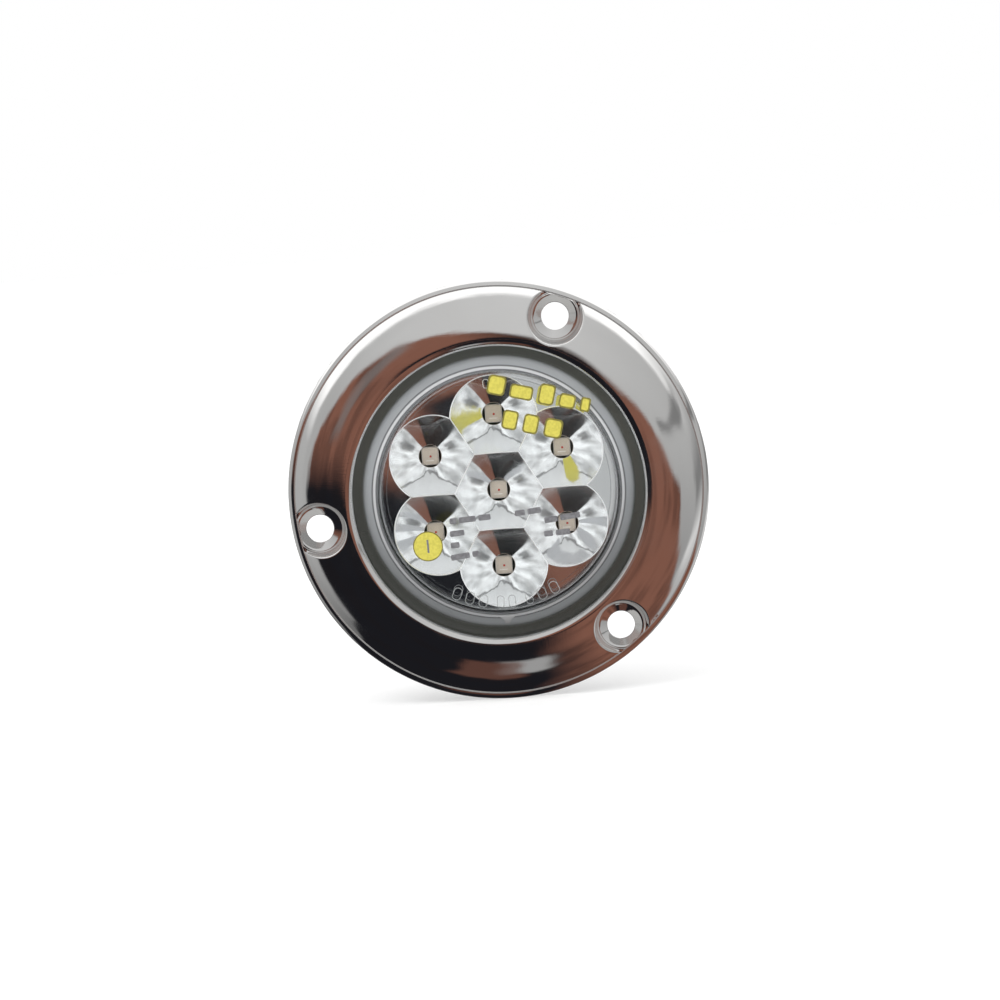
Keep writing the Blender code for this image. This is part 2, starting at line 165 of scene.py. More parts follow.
def rounded(outline, radius, steps=3):
    """A closed outline with its corners rounded, except on the axis."""
    points = []
    count = len(outline)
    for i, p in enumerate(outline):
        if p[0] < ON_AXIS:
            points.append(p)
            continue
        here = Vector(p)
        before, after = Vector(outline[i - 1]) - here, Vector(outline[(i + 1) % count]) - here
        cut = min(radius, 0.45 * before.length, 0.45 * after.length)
        if before.normalized().dot(after.normalized()) < -0.995:
            points.append(p)
            continue
        start, end = here + before.normalized() * cut, here + after.normalized() * cut
        for k in range(steps + 1):
            t = k / steps
            q = start * (1 - t) ** 2 + here * (2 * t * (1 - t)) + end * t * t
            points.append((q.x, q.y))
    return points


def make_object(name, bm, sharp_degrees=SHARP_DEGREES):
    """A smooth-shaded object from a bmesh."""
    bmesh.ops.recalc_face_normals(bm, faces=bm.faces)
    mesh = bpy.data.meshes.new(name)
    bm.to_mesh(mesh)
    bm.free()
    mesh.shade_smooth()
    mesh.set_sharp_from_angle(angle=math.radians(sharp_degrees))
    obj = bpy.data.objects.new(name, mesh)
    bpy.context.scene.collection.objects.link(obj)
    return obj


def lathe(name, outline, steps=ROUND_STEPS, centre=(0.0, 0.0)):
    """Revolve a closed outline about the front-to-back axis through centre."""
    bm = bmesh.new()
    rings = []
    for radius, height in outline:
        if radius < ON_AXIS:
            rings.append([bm.verts.new(at(centre[0], height, centre[1]))])
            continue
        ring = []
        for i in range(steps):
            a = 2 * math.pi * i / steps
            x, z = radius * math.cos(a), radius * math.sin(a)
            ring.append(bm.verts.new(at(centre[0] + x, height, centre[1] + z)))
        rings.append(ring)
    for a, b in zip(rings, rings[1:] + rings[:1]):
        if len(a) == 1 and len(b) == 1:
            continue
        for i in range(steps):
            j = (i + 1) % steps
            if len(a) == 1:
                bm.faces.new((a[0], b[j], b[i]))
            elif len(b) == 1:
                bm.faces.new((a[i], a[j], b[0]))
            else:
                bm.faces.new((a[i], a[j], b[j], b[i]))
    return make_object(name, bm)


def slab(name, corners, top, foot, edge=0.0, segments=2):
    """Extrude a flat (x, z) outline between two heights and round its edges."""
    bm = bmesh.new()
    front = [bm.verts.new(at(x, top, z)) for x, z in corners]
    back = [bm.verts.new(at(x, foot, z)) for x, z in corners]
    caps = [bm.faces.new(front), bm.faces.new(list(reversed(back)))]
    for i in range(len(corners)):
        j = (i + 1) % len(corners)
        bm.faces.new((front[j], front[i], back[i], back[j]))
    if edge:
        edges = {e for cap in caps for e in cap.edges}
        bmesh.ops.bevel(bm, geom=list(edges), offset=edge * MM, segments=segments,
                        affect="EDGES", profile=0.5)
    return make_object(name, bm)


def round_rect(width, height, radius, centre=(0.0, 0.0), turn=0.0, steps=4):
    """Corners of a rounded rectangle turned by an angle about its centre."""
    c, s = math.cos(turn), math.sin(turn)
    points = []
    for sx, sz, start in ((1, 1, 0), (-1, 1, 90), (-1, -1, 180), (1, -1, 270)):
        for k in range(steps + 1):
            a = math.radians(start + 90 * k / steps)
            x = sx * (width / 2 - radius) + radius * math.cos(a)
            z = sz * (height / 2 - radius) + radius * math.sin(a)
            points.append((centre[0] + x * c - z * s, centre[1] + x * s + z * c))
    return points


def tube(bm, points, radius, closed, sides=8):
    """Add a round tube along points (x, height, z) to a bmesh."""
    path = [at(*p) for p in points]
    count = len(path)
    rings = []
    for i, p in enumerate(path):
        ahead = path[(i + 1) % count] if closed or i < count - 1 else p
        behind = path[i - 1] if closed or i > 0 else p
        along = (ahead - behind).normalized()
        side = along.cross(Vector((0, 1, 0))).normalized()
        up = side.cross(along)
        ring = []
        for k in range(sides):
            a = 2 * math.pi * k / sides
            ring.append(bm.verts.new(p + (side * math.cos(a) + up * math.sin(a)) * radius * MM))
        rings.append(ring)
    pairs = list(zip(rings, rings[1:]))
    if closed:
        pairs.append((rings[-1], rings[0]))
    else:
        bm.faces.new(rings[0])
        bm.faces.new(list(reversed(rings[-1])))
    for a, b in pairs:
        for k in range(sides):
            j = (k + 1) % sides
            bm.faces.new((a[k], a[j], b[j], b[k]))


def cut(target, tools, operation="DIFFERENCE"):
    """Apply booleans to target and delete the tools."""
    for tool in tools:
        modifier = target.modifiers.new("cut", "BOOLEAN")
        modifier.operation = operation
        modifier.solver = "EXACT"
        modifier.object = tool
    graph = bpy.context.evaluated_depsgraph_get()
    mesh = bpy.data.meshes.new_from_object(target.evaluated_get(graph))
    target.modifiers.clear()
    target.data = mesh
    for tool in tools:
        bpy.data.objects.remove(tool, do_unlink=True)
    mesh.shade_smooth()
    mesh.set_sharp_from_angle(angle=math.radians(CUT_SHARP_DEGREES))
    return target


# ---------------------------------------------------------------------------
# materials
# ---------------------------------------------------------------------------
class Nodes:
    """Short names for building a node tree."""

    def __init__(self, tree):
        self.tree = tree

    def new(self, kind, **settings):
        node = self.tree.nodes.new(kind)
        for key, value in settings.items():
            setattr(node, key, value)
        return node

    def link(self, value, socket):
        if isinstance(value, bpy.types.NodeSocket):
            self.tree.links.new(value, socket)
        elif isinstance(value, tuple) and len(value) == 3 and socket.type == "RGBA":
            socket.default_value = (*value, 1.0)
        else:
            socket.default_value = value

    def math(self, operation, *values):
        node = self.new("ShaderNodeMath", operation=operation)
        for value, socket in zip(values, node.inputs):
            self.link(value, socket)
        return node.outputs[0]

    def smooth(self, value, low, high):
        """0 below low, 1 above high, smooth in between."""
        node = self.new("ShaderNodeMapRange", interpolation_type="SMOOTHSTEP")
        for key, v in (("Value", value), ("From Min", low), ("From Max", high)):
            self.link(v, node.inputs[key])
        return node.outputs["Result"]

    def mix(self, factor, a, b):
        node = self.new("ShaderNodeMix", data_type="RGBA")
        self.link(factor, node.inputs[0])
        self.link(a, node.inputs[6])
        self.link(b, node.inputs[7])
        return node.outputs[2]

    def ramp(self, value, stops):
        """Colour at each position; a stop is (position, colour)."""
        node = self.new("ShaderNodeValToRGB")
        self.link(value, node.inputs[0])
        elements = node.color_ramp.elements
        elements[0].position, elements[1].position = stops[0][0], stops[-1][0]
        elements[0].color, elements[1].color = (*stops[0][1], 1), (*stops[-1][1], 1)
        for position, colour in stops[1:-1]:
            elements.new(position).color = (*colour, 1)
        return node.outputs[0]

    def noise(self, vector, scale, detail=2.0):
        node = self.new("ShaderNodeTexNoise")
        self.link(vector, node.inputs["Vector"])
        node.inputs["Scale"].default_value = scale
        node.inputs["Detail"].default_value = detail
        return node.outputs["Fac"]

    def stretch(self, vector, scale, turn=(0, 0, 0)):
        node = self.new("ShaderNodeMapping")
        self.link(vector, node.inputs["Vector"])
        node.inputs["Scale"].default_value = scale
        node.inputs["Rotation"].default_value = turn
        return node.outputs[0]

    def bump(self, height, distance):
        node = self.new("ShaderNodeBump")
        self.link(height, node.inputs["Height"])
        node.inputs["Distance"].default_value = distance
        node.inputs["Strength"].default_value = 0.5
        return node.outputs[0]


def new_material(name):
    """A material with its node helper, Principled node and object coordinates."""
    material = bpy.data.materials.new(name)
    material.use_nodes = True
    n = Nodes(material.node_tree)
    shader = material.node_tree.nodes["Principled BSDF"]
    where = n.new("ShaderNodeTexCoord").outputs["Object"]
    return material, n, shader, where


def speckled(name, colour, roughness, grain, size, metallic=0.0, tone=0.15, relief=0.00002):
    """A finish with fine tone, roughness and surface grain."""
    material, n, shader, where = new_material(name)
    fine = n.noise(where, size, 4.0)
    broad = n.noise(where, size / 12, 2.0)
    shade = n.math("ADD", n.math("MULTIPLY", fine, tone), n.math("MULTIPLY", broad, tone))
    dark = tuple(c * (1 - tone) for c in colour)
    light = tuple(min(1.0, c * (1 + tone)) for c in colour)
    n.link(n.mix(n.smooth(shade, tone * 0.5, tone * 1.5), dark, light), shader.inputs["Base Color"])
    rough = n.math("ADD", n.math("MULTIPLY", fine, grain), roughness - grain / 2)
    n.link(rough, shader.inputs["Roughness"])
    shader.inputs["Metallic"].default_value = metallic
    n.link(n.bump(fine, relief), shader.inputs["Normal"])
    return material


def make_steel():
    """Buffed stainless with hairline polishing marks."""
    material, n, shader, where = new_material("polished_stainless")
    hair = n.noise(n.stretch(where, (300, 300, 9000), (0, math.radians(35), 0)), 1.0, 2.0)
    cross = n.noise(n.stretch(where, (9000, 300, 500), (0, math.radians(20), 0)), 1.0, 2.0)
    haze = n.noise(where, 90, 4.0)
    mottle = n.noise(where, 700, 3.0)
    marks = n.math("ADD", hair, n.math("MULTIPLY", cross, 0.6))
    marks = n.math("ADD", marks, n.math("MULTIPLY", mottle, 1.6))
    patch = n.smooth(haze, 0.42, 0.70)
    rough = n.math("ADD", 0.05, n.math("MULTIPLY", patch, 0.09))
    n.link(rough, shader.inputs["Roughness"])
    n.link(n.mix(haze, (0.86, 0.85, 0.84), (0.93, 0.93, 0.92)), shader.inputs["Base Color"])
    shader.inputs["Metallic"].default_value = 1.0
    n.link(n.bump(marks, 0.000004), shader.inputs["Normal"])
    return material


def make_mirror():
    """Vacuum-metallised plastic: a bright mirror with slight orange peel."""
    material, n, shader, where = new_material("metallised_plastic")
    peel = n.noise(where, 500, 2.0)
    shader.inputs["Base Color"].default_value = (0.95, 0.95, 0.96, 1)
    shader.inputs["Metallic"].default_value = 1.0
    n.link(n.math("ADD", 0.03, n.math("MULTIPLY", peel, 0.05)), shader.inputs["Roughness"])
    n.link(n.bump(peel, 0.000012), shader.inputs["Normal"])
    return material


def add_glow(material, colour, strength):
    """Give a finish made by new_material a faint light of its own."""
    shader = material.node_tree.nodes["Principled BSDF"]
    shader.inputs["Emission Color"].default_value = (*colour, 1.0)
    shader.inputs["Emission Strength"].default_value = strength


def make_clear(name, body, solid):
    """Clear plastic: see-through with a gloss, and body colour where solid is high.

    body is a list of (radius in mm, colour) stops across the lamp's face, and
    solid a list of (radius in mm, share) stops.  The colour is darker lower down, as painted shade.
    """
    material, n, shader, where = new_material(name)
    parts = n.new("ShaderNodeSeparateXYZ")
    n.link(where, parts.inputs[0])
    x, z = parts.outputs[0], parts.outputs[2]
    squared = n.math("ADD", n.math("MULTIPLY", x, x), n.math("MULTIPLY", z, z))
    radius = n.math("SQRT", squared)
    share = n.math("DIVIDE", radius, SHADE_R * MM)
    mask = n.ramp(share, [(r / SHADE_R, (s, s, s)) for r, s in solid])
    colour = n.ramp(share, [(r / SHADE_R, c) for r, c in body])
    # painted shade: lower down the body colour is mixed towards near-black
    shaded = n.mix(0.45, colour, (0.05, 0.05, 0.045))
    lit = n.smooth(z, -19 * MM, 12 * MM)
    n.link(n.mix(lit, shaded, colour), shader.inputs["Base Color"])
    shader.inputs["Roughness"].default_value = 0.18
    shader.inputs["IOR"].default_value = 1.58
    see = n.new("ShaderNodeBsdfTransparent")
    see.inputs[0].default_value = (0.985, 0.99, 0.99, 1)
    gloss = n.new("ShaderNodeBsdfGlossy")
    gloss.inputs["Roughness"].default_value = 0.02
    facing = n.new("ShaderNodeLayerWeight")
    facing.inputs[0].default_value = 0.5
    grazing = n.math("POWER", facing.outputs["Facing"], 5.0)
    shine = n.math("ADD", 0.025, n.math("MULTIPLY", grazing, 0.8))
    inside = n.new("ShaderNodeNewGeometry").outputs["Backfacing"]
    shine = n.math("MULTIPLY", shine, n.math("SUBTRACT", 1.0, inside))
    clear = n.new("ShaderNodeMixShader")
    n.link(shine, clear.inputs[0])
    n.link(see.outputs[0], clear.inputs[1])
    n.link(gloss.outputs[0], clear.inputs[2])
    both = n.new("ShaderNodeMixShader")
    n.link(mask, both.inputs[0])
    n.link(clear.outputs[0], both.inputs[1])
    n.link(shader.outputs[0], both.inputs[2])
    n.link(both.outputs[0], material.node_tree.nodes["Material Output"].inputs[0])
    return material


def make_ink(name, colour, rim, back):
    """Printed ink; from behind, its faces glow in the back colour, a painted light standing in for
    light shining through the film.
    """
    material, n, shader, where = new_material(name)
    fine = n.noise(where, 2500, 3.0)
    n.link(n.mix(n.smooth(fine, 0.35, 0.65), rim, colour), shader.inputs["Base Color"])
    shader.inputs["Roughness"].default_value = 0.35
    side = n.new("ShaderNodeSeparateXYZ")
    n.link(n.new("ShaderNodeNewGeometry").outputs["True Normal"], side.inputs[0])
    # painted light: faces turned to the back glow, as if lit through the film
    behind = n.math("GREATER_THAN", side.outputs[1], 0.5)
    add_glow(material, back, 0.0)
    n.link(behind, shader.inputs["Emission Strength"])
    return material


# ---------------------------------------------------------------------------
# flange
# ---------------------------------------------------------------------------
def dome(r, offset=0.0):
    """Height of the flange's crown, moved inwards by offset."""
    if r < ROLL_END:
        inside = (ROLL_RAD - offset) ** 2 - (r - ROLL_C[0]) ** 2
        return ROLL_C[1] + math.sqrt(max(0.0, inside))
    inside = (DOME_RAD - offset) ** 2 - (r - DOME_C[0]) ** 2
    return DOME_C[1] + math.sqrt(max(0.0, inside))


def seat_distance(x, z):
    return min(math.hypot(x - sx, z - sz) for sx, sz in SCREWS)


def front_height(x, z):
    """Height of the flange's front surface between the lip and the rim."""
    top = dome(math.hypot(x, z))
    d = seat_distance(x, z)
    if d >= WALL_D + BLEND:
        return top
    if d > WALL_D:
        across = WALL_D + BLEND - d
        return top - BLEND + math.sqrt(max(0.0, BLEND**2 - across**2))
    wall_top = max(top - BLEND, GROOVE_H)
    if d > GROOVE_D:
        t = (d - GROOVE_D) / (WALL_D - GROOVE_D)
        return min(top, GROOVE_H + (wall_top - GROOVE_H) * (1 - math.sqrt(max(0.0, 1 - t * t))))
    outer = clamp01((d - CREST_D) / (GROOVE_D - CREST_D))
    ridge = GROOVE_H + (CREST_H - GROOVE_H) * (0.5 + 0.5 * math.cos(math.pi * outer))
    cone = HOLE_H + (d - HOLE_R) * CONE_SLOPE
    soft = max(0.0, CREST_SOFT - abs(ridge - cone)) / CREST_SOFT
    return min(top, min(ridge, cone) - soft * soft * CREST_SOFT / 4)


def back_height(x, z):
    """Height of the flange's hidden back surface over the same area."""
    r = math.hypot(x, z)
    top = dome(r, SHEET)
    top *= 1 - clamp01((r - HOLLOW_R + 0.05) / 0.05)
    d = seat_distance(x, z)
    if d >= BACK_WALL_D:
        return top
    floor = SEAT_RISE * clamp01((d - SEAT_D) / (BACK_D - SEAT_D))
    if d > BACK_D:
        t = (d - BACK_D) / (BACK_WALL_D - BACK_D)
        floor += (max(top, floor) - floor) * (1 - math.sqrt(max(0.0, 1 - t * t)))
    return min(top, floor)


def dimple_distances():
    """Distances from a screw's axis at which the surface is sampled."""
    cone = [HOLE_R, 2.62, 2.8, 3.05, 3.3, 3.55]
    crest = [3.7 + 0.05 * k for k in range(15)]
    wall = [GROOVE_D + (WALL_D - GROOVE_D) * math.sin(math.radians(9 * k)) for k in range(11)]
    edge = [WALL_D + BLEND * (1 - math.cos(math.radians(11.25 * k))) for k in range(1, 9)]
    back = [BACK_D + (BACK_WALL_D - BACK_D) * math.sin(math.radians(11.25 * k))
            for k in range(2, 9)]
    return sorted(cone + crest + wall + edge + back) + [5.5, 5.8]


def rim_height(t):
    """Height of the rim's slope; t runs from 0 at its top to 1 at the outer edge."""
    return 1.38 - 0.72 * t - 0.12 * t * t - 0.42 * t**5


def circle(centre, radius, angles):
    """Points (x, z) on a circle at the given angles."""
    return [(centre[0] + radius * math.cos(a), centre[1] + radius * math.sin(a)) for a in angles]


def make_bezel(steel):
    """The stamped flange as one closed sheet with three screw dimples."""
    full = 2 * math.pi
    inner_angles = [full * k / FLANGE_STEPS for k in range(FLANGE_STEPS)]
    outer_angles = {round(a, 6) for a in inner_angles}
    for sx, sz in SCREWS:
        middle = math.atan2(sz, sx) % full
        for k in range(-RIM_EXTRA, RIM_EXTRA + 1):
            outer_angles.add(round((middle + k * RIM_EXTRA_STEP) % full, 6))
    ordered = sorted(outer_angles)
    following = ordered[1:] + [math.inf]
    outer_angles = [a for a, b in zip(ordered, following) if b - a > LEAST_STEP]
    points, edges = [], []

    def loop(ring):
        start = len(points)
        points.extend(Vector(p) for p in ring)
        edges.extend((start + i, start + (i + 1) % len(ring)) for i in range(len(ring)))
        return list(range(start, len(points)))

    outer = loop(circle((0.0, 0.0), RIM_R, outer_angles))
    inner = loop(circle((0.0, 0.0), CROWN_R, inner_angles))
    holes = []
    turn = [full * k / HOLE_STEPS for k in range(HOLE_STEPS)]
    for screw in SCREWS:
        holes.append(loop(circle(screw, HOLE_R, turn)))
        for d in dimple_distances()[1:]:
            for x, z in circle(screw, d, turn):
                if CROWN_R + EDGE_MARGIN < math.hypot(x, z) < RIM_R - EDGE_MARGIN:
                    points.append(Vector((x, z)))
    rings = [CROWN_R + RING_GAP * k for k in range(1, 28)]
    rings = [r for r in rings if r < HOLLOW_R - RING_GAP / 2] + [36.14, 36.2, 36.45, 36.7]
    for r in rings:
        for x, z in circle((0.0, 0.0), r, inner_angles):
            if seat_distance(x, z) > PLAIN_D:
                points.append(Vector((x, z)))
    flat, _, triangles, originals, _, _ = delaunay_2d_cdt(points, edges, [], 0, 1e-5)
    where = {}
    for new, sources in enumerate(originals):
        for source in sources:
            where[source] = new
    kept = []
    for tri in triangles:
        x = sum(flat[i][0] for i in tri) / 3
        z = sum(flat[i][1] for i in tri) / 3
        r = math.hypot(x, z)
        if math.hypot(*flat[tri[0]]) < CROWN_R + 0.01 and r < CROWN_R:
            continue
        if r > CROWN_R * 0.9995 and seat_distance(x, z) > HOLE_R * 0.999:
            kept.append(tri)

    bm = bmesh.new()
    normals = []

    def vertex(x, height, z, normal=(0, 0, 0)):
        normals.append(normal)
        return bm.verts.new(at(x, height, z))

    def slope(surface, x, z, sign):
        e = 0.002
        gx = (surface(x + e, z) - surface(x - e, z)) / (2 * e)
        gz = (surface(x, z + e) - surface(x, z - e)) / (2 * e)
        return Vector((-gx * sign, -sign, -gz * sign)).normalized()

    rim_ids = {where[i] for i in outer} | {where[i] for hole in holes for i in hole}
    tops, backs = [], []
    for i, (x, z) in enumerate(flat):
        free = i not in rim_ids
        normal = slope(front_height, x, z, 1) if free else (0, 0, 0)
        tops.append(vertex(x, front_height(x, z), z, normal))
    for i, (x, z) in enumerate(flat):
        backs.append(vertex(x, back_height(x, z), z))
    for a, b, c in kept:
        bm.faces.new((tops[a], tops[b], tops[c]))
        bm.faces.new((backs[c], backs[b], backs[a]))

    def strip(ids, angles, centre, profile):
        """Join the front loop to the back loop through rings of a profile."""
        rows = [[tops[where[i]] for i in ids]]
        for r, h in profile:
            rows.append([vertex(x, h, z) for x, z in circle(centre, r, angles)])
        rows.append([backs[where[i]] for i in ids])
        for a, b in zip(rows, rows[1:]):
            for i in range(len(ids)):
                j = (i + 1) % len(ids)
                bm.faces.new((a[i], a[j], b[j], b[i]))

    rim = [(36.97, 1.22), (37.0, 1.34)]
    rim += [(RIM_START + RIM_WIDTH * k / 18, rim_height(k / 18)) for k in range(19)]
    rim += [(FLANGE_R, 0.12), (FLANGE_R - 0.05, 0.03), (FLANGE_R - 0.15, 0.0)]
    strip(outer, outer_angles, (0.0, 0.0), rim)

    start = math.acos((CROWN_R - ROLL_C[0]) / ROLL_RAD)
    lip = []
    for k in range(1, 13):
        a = start + (math.pi - start) * k / 12
        lip.append((ROLL_C[0] + ROLL_RAD * math.cos(a), ROLL_C[1] + ROLL_RAD * math.sin(a)))
    lip += [(LIP_R, 4.4), (LIP_R, 3.6), (LIP_R, LIP_FOOT + 0.15), (LIP_R + 0.05, LIP_FOOT + 0.04)]
    lip += [(LIP_R + 0.15, LIP_FOOT), (LIP_R + SHEET - 0.1, LIP_FOOT), (LIP_R + SHEET, 3.0)]
    inner_rad = ROLL_RAD - SHEET
    start = math.acos((CROWN_R - ROLL_C[0]) / inner_rad)
    for k in range(7):
        a = math.pi + (start - math.pi) * k / 7
        lip.append((ROLL_C[0] + inner_rad * math.cos(a), ROLL_C[1] + inner_rad * math.sin(a)))
    strip(inner, inner_angles, (0.0, 0.0), lip)
    for hole, centre in zip(holes, SCREWS):
        strip(hole, turn, centre, [(HOLE_R - 0.02, 0.45), (HOLE_R, 0.1)])

    loose = [v for v in bm.verts if not v.link_faces]
    used = [i for i, v in enumerate(bm.verts) if v.link_faces]
    bmesh.ops.delete(bm, geom=loose, context="VERTS")
    bezel = make_object("flange", bm, FLANGE_SHARP_DEGREES)
    kept_normals = [normals[i] for i in used]
    bezel.data.normals_split_custom_set_from_vertices(kept_normals)
    bezel.data.materials.append(steel)
    return bezel


# ---------------------------------------------------------------------------
# reflector
# ---------------------------------------------------------------------------
LED_CENTRES = []
for index in range(1, 8):
    low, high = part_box(f"led_{index}")
    LED_CENTRES.append(((low.x + high.x) / 2 / MM, (low.z + high.z) / 2 / MM))


def cup(r):
    """Height of a reflector cup's surface at a distance from its axis."""
    out = r - APERTURE_R
    return THROAT + 0.40 * out + 0.0327 * out * out


def plate(r):
    """Height of the reflector's plate, which falls away towards its edge."""
    t = max(0.0, r - PLATE_FLAT_R)
    return PLATE_TOP - 0.02 * t - 0.0075 * t * t


def cup_outline(number, steps=144):
    """Rim points of a cup, with the number of the cup beyond each point."""
    cx, cz = LED_CENTRES[number]
    points = []
    for k in range(steps):
        a = 2 * math.pi * k / steps
        ux, uz = math.cos(a), math.sin(a)
        reach, beyond = CUP_REACH, None
        for other, (ox, oz) in enumerate(LED_CENTRES):
            dx, dz = ox - cx, oz - cz
            toward = ux * dx + uz * dz
            if other != number and toward > ON_AXIS:
                limit = (dx * dx + dz * dz) / 2 / toward
                if limit < reach:
                    reach, beyond = limit, other
        low, high = APERTURE_R, reach
        for _ in range(26):
            middle = (low + high) / 2
            edge = plate(math.hypot(cx + ux * middle, cz + uz * middle))
            if cup(middle) < edge:
                low = middle
            else:
                high = middle
        if low < reach - 1e-4:
            beyond = None
        points.append((cx + ux * low, cup(low), cz + uz * low, beyond))
    return points


def make_reflector(mirror):
    """The plate with seven cups carved from it and a fine bead on each ridge."""
    profile = [(0.0, PLATE_TOP)]
    for k in range(15):
        r = PLATE_FLAT_R + (PLATE_R - 0.15 - PLATE_FLAT_R) * k / 14
        profile.append((r, plate(r)))
    skirt_r = PLATE_R - SKIRT_T
    profile += [(PLATE_R, plate(PLATE_R) - 0.12), (PLATE_R, SKIRT_FOOT), (skirt_r, SKIRT_FOOT)]
    profile += [(skirt_r, PLATE_BACK), (0.0, PLATE_BACK)]
    body = lathe("reflector_cups", profile, 180)
    bowls = []
    for number, centre in enumerate(LED_CENTRES):
        bowl = [(0.0, BOWL_TOP), (BOWL_R, BOWL_TOP)]
        for k in range(19):
            r = BOWL_R + (APERTURE_R - BOWL_R) * k / 18
            bowl.append((r, cup(r)))
        neck_r = APERTURE_R - 0.05
        bowl += [(neck_r, THROAT - 0.08), (neck_r, BOWL_FOOT), (0.0, BOWL_FOOT)]
        bowls.append(lathe(f"bowl_{number}", bowl, 120, centre))
    cut(body, bowls)
    body.data.materials.append(mirror)

    bm = bmesh.new()
    for number in range(len(LED_CENTRES)):
        outline = cup_outline(number)
        # a ridge between two cups is drawn once, with the lower-numbered cup
        drawn = [beyond is None or beyond > number for *_, beyond in outline]
        if all(drawn):
            tube(bm, [p[:3] for p in outline], RIDGE_R, True)
            continue
        run = []
        first = drawn.index(False)
        for k in range(first, first + len(outline) + 1):
            if drawn[k % len(outline)]:
                run.append(outline[k % len(outline)][:3])
                continue
            if len(run) > 1:
                tube(bm, run, RIDGE_R, False)
            run = []
    ridges = make_object("reflector_ridges", bm)
    # painted highlight: the beads glow faintly white, standing in for the light that rounded ridges
    # catch
    bright = speckled("ridge_painted_highlight", (0.92, 0.92, 0.93), 0.35, 0.1, 1500, metallic=1.0, tone=0.04)
    add_glow(bright, (1.0, 1.0, 1.0), 0.3)
    ridges.data.materials.append(bright)
    return body, ridges


# ---------------------------------------------------------------------------
# lens, film and light emitters
# ---------------------------------------------------------------------------
def make_lens(clear, moulded):
    """The moulded cover: flat face, sloping drum, foot ring and gate mark."""
    outline = [
        (0.0, LENS_FACE), (21.7, LENS_FACE), (22.0, 5.75), (22.15, 5.55), (22.35, 5.5),
        (22.65, 5.3), (22.8, 4.85), (24.0, 3.5),
        (24.5, 2.75), (24.75, LENS_FOOT), (LAMP_FLANGE_R, LENS_FOOT), (LAMP_FLANGE_R, LENS_BACK),
        (LENS_BORE_R, LENS_BACK), (LENS_BORE_R, LENS_INNER), (0.0, LENS_INNER),
    ]
    lens = lathe("lens_cover", rounded(outline, 0.22), 200)
    gate = [(-1.9, -GATE_R), (-0.6, -23.1), (-0.5, -24.0),
            (0.5, -24.0), (0.6, -23.1), (1.9, -GATE_R)]
    mark = slab("lens_gate_mark", gate, 5.75, 4.9, 0.08)
    for v in mark.data.vertices:
        v.co.y += (-v.co.z - GATE_R * MM) * GATE_SLOPE
    bm = bmesh.new()
    for reach, tall, pills in (
        (20.0, 2.2, ((-116, 1.5), (-109, 1.5), (-102, 1.5), (-93, 1.2), (-87, 1.2),
                     (-78, 1.2), (-71, 1.5), (-64, 1.5))),
        (19.6, 1.6, ((89, 1.0), (93, 1.0))),
    ):
        for degrees, wide in pills:
            a = math.radians(degrees)
            across = Vector((math.sin(a), -math.cos(a)))
            outward = Vector((math.cos(a), math.sin(a)))
            placed = []
            for x, z in round_rect(wide, tall, wide * 0.45, steps=6):
                spot = outward * (reach + z) + across * x
                placed.append((spot.x, PILL_HEIGHT, spot.y))
            tube(bm, placed, PILL_LINE_R, True)
    marks = make_object("lens_moulded_marks", bm)
    lens.data.materials.append(clear)
    mark.data.materials.append(moulded)
    marks.data.materials.append(moulded)
    return lens, mark, marks


